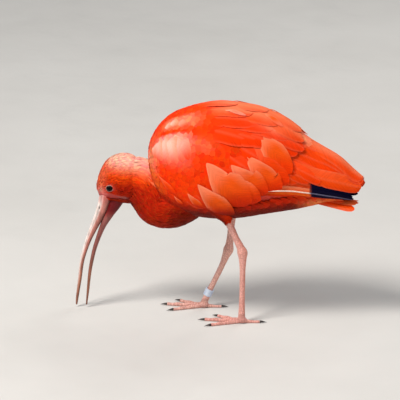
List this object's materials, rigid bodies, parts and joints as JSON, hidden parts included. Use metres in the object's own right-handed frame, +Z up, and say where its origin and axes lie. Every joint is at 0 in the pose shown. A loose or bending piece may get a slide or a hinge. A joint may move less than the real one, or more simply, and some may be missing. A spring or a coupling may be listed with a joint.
{
  "type": "scarlet ibis model",
  "caption": "Life-size still model of an adult scarlet ibis wading with its neck folded and its long curved bill lowered and slightly open.",
  "frame": {"origin": "middle of the bird's footprint box, on the floor that it stands on", "axes": "+Z up, the bill points towards -X, the bird's left side faces -Y"},
  "size_m": [0.4056, 0.126, 0.3086],
  "materials": {
    "plumage": "scarlet feathers, satin sheen",
    "primary_tip": "blue-black feather tips",
    "face_skin": "bare wrinkled pink skin",
    "bill": "worn horn, satin",
    "leg_skin": "scaled skin, satin",
    "claw": "dark horn",
    "eye": "wet gloss",
    "band": "worn plain plastic ring"
  },
  "bodies": {
    "root": {"torso": "plumage", "wing_left": "plumage", "wing_right": "plumage", "primaries_left": "plumage", "primary_tips_left": "primary_tip", "primaries_right": "plumage", "primary_tips_right": "primary_tip", "tail": "plumage", "head": "plumage", "neck_upper": "plumage", "neck_lower": "plumage", "thigh_left": "plumage", "thigh_right": "plumage", "eye_left": "eye", "eye_right": "eye", "bill_upper": "bill", "bill_lower": "bill", "shank_left": "leg_skin", "shank_right": "leg_skin", "tarsus_left": "leg_skin", "tarsus_right": "leg_skin", "foot_left": "leg_skin", "foot_right": "leg_skin", "claw_inner_left": "claw", "claw_middle_left": "claw", "claw_outer_left": "claw", "claw_hind_left": "claw", "claw_inner_right": "claw", "claw_middle_right": "claw", "claw_outer_right": "claw", "claw_hind_right": "claw", "leg_band": "band"}
  },
  "joints": []
}
